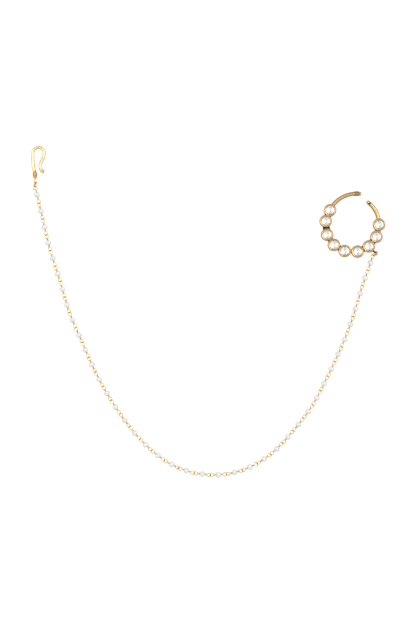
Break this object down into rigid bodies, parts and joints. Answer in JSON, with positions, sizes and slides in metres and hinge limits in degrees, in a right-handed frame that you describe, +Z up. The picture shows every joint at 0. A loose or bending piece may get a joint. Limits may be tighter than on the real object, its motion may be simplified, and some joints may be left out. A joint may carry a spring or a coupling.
{
  "type": "nose ring with pearl chain and hair hook",
  "caption": "Open nose hoop of round bezel-set stones, with a pearl link chain from an eyelet and jump ring on the hoop to an S-shaped hair hook; lies flat.",
  "frame": {"origin": "middle of the underside of the whole thing's box, on the surface that it lies on", "axes": "+Z up out of the surface, the way the stones face; +X from the hair hook's side to the hoop's side; +Y from the chain's lowest bend to the hook's top"},
  "size_m": [0.1592, 0.1492, 0.0032],
  "materials": {
    "old_gold": "antique gold plate, darkened in its recesses",
    "bright_gold": "polished gold plate",
    "pearl": "pale pearl lustre on gold-plated pins",
    "crystal": "clear foil-backed cut crystal"
  },
  "bodies": {
    "root": {"hoop": "old_gold", "jump_ring": "bright_gold", "hair_hook": "bright_gold", "pearl_chain_a": "pearl", "pearl_chain_b": "pearl", "stone_1": "crystal", "stone_2": "crystal", "stone_3": "crystal", "stone_4": "crystal", "stone_5": "crystal", "stone_6": "crystal", "stone_7": "crystal", "stone_8": "crystal", "stone_9": "crystal"}
  },
  "joints": []
}
